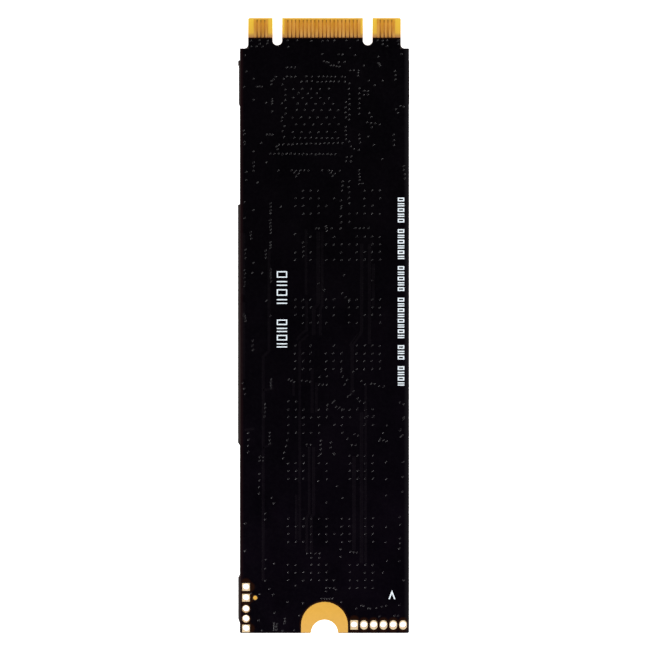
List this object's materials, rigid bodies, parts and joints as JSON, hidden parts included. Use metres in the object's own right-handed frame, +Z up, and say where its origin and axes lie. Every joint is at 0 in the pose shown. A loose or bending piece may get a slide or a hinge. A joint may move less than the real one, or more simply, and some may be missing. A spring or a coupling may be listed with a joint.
{
  "type": "solid state drive card",
  "caption": "Slim solid state drive card with a two-key edge connector, half-round mounting notch and memory packages on one side only.",
  "frame": {"origin": "under the middle of the 22 x 80 mm board outline, on the surface the card lies on, packages down", "axes": "+Y along the card towards the edge connector, +X across it, +Z up through the bare side of the board"},
  "size_m": [0.0223, 0.08, 0.0021],
  "materials": {
    "laminate": "glass-epoxy laminate, translucent yellow at the cut edge, satin",
    "solder_mask": "near-black solder mask, semi-gloss",
    "contact_gold": "hard gold over nickel on copper",
    "pad_gold": "thin immersion gold on copper",
    "white_ink": "white marking ink, matt",
    "mould_compound": "black epoxy mould compound, matt",
    "package_laminate": "green package laminate",
    "solder": "tin-silver solder and tinned end caps, satin",
    "label_film": "blank white polyester label, satin",
    "ferrite": "dark grey pressed metal powder",
    "ceramic_base": "alumina package base",
    "crystal_lid": "nickel-plated lid",
    "capacitor_ceramic": "tan fired ceramic",
    "resistor_glaze": "black glass glaze",
    "fuse_ceramic": "pale fired ceramic"
  },
  "bodies": {
    "root": {"controller_balls": "solder", "controller_mould": "mould_compound", "controller_substrate": "package_laminate", "crystal_base": "ceramic_base", "crystal_can": "crystal_lid", "edge_contacts_back": "contact_gold", "edge_contacts_front": "contact_gold", "fiducial_back": "pad_gold", "fiducials_front": "pad_gold", "fuse_bodies": "fuse_ceramic", "fuse_terminals": "solder", "inductor_bodies": "ferrite", "inductor_terminals": "solder", "label": "label_film", "large_capacitor_bodies": "capacitor_ceramic", "large_capacitor_terminals": "solder", "load_switch_body": "mould_compound", "load_switch_leads": "solder", "medium_capacitor_bodies": "capacitor_ceramic", "medium_capacitor_terminals": "solder", "mounting_pad_back": "pad_gold", "mounting_pad_front": "pad_gold", "nand_1_balls": "solder", "nand_1_mould": "mould_compound", "nand_1_substrate": "package_laminate", "nand_2_balls": "solder", "nand_2_mould": "mould_compound", "nand_2_substrate": "package_laminate", "nand_3_balls": "solder", "nand_3_mould": "mould_compound", "nand_3_substrate": "package_laminate", "nand_4_balls": "solder", "nand_4_mould": "mould_compound", "nand_4_substrate": "package_laminate", "pcb_core": "laminate", "power_ic_body": "mould_compound", "power_ic_pads": "solder", "resistor_bodies": "resistor_glaze", "resistor_terminals": "solder", "row_header_eyelets": "pad_gold", "side_header_eyelets": "pad_gold", "silkscreen_back": "white_ink", "small_capacitor_bodies": "capacitor_ceramic", "small_capacitor_terminals": "solder", "solder_mask_back": "solder_mask", "solder_mask_front": "solder_mask"}
  },
  "joints": []
}
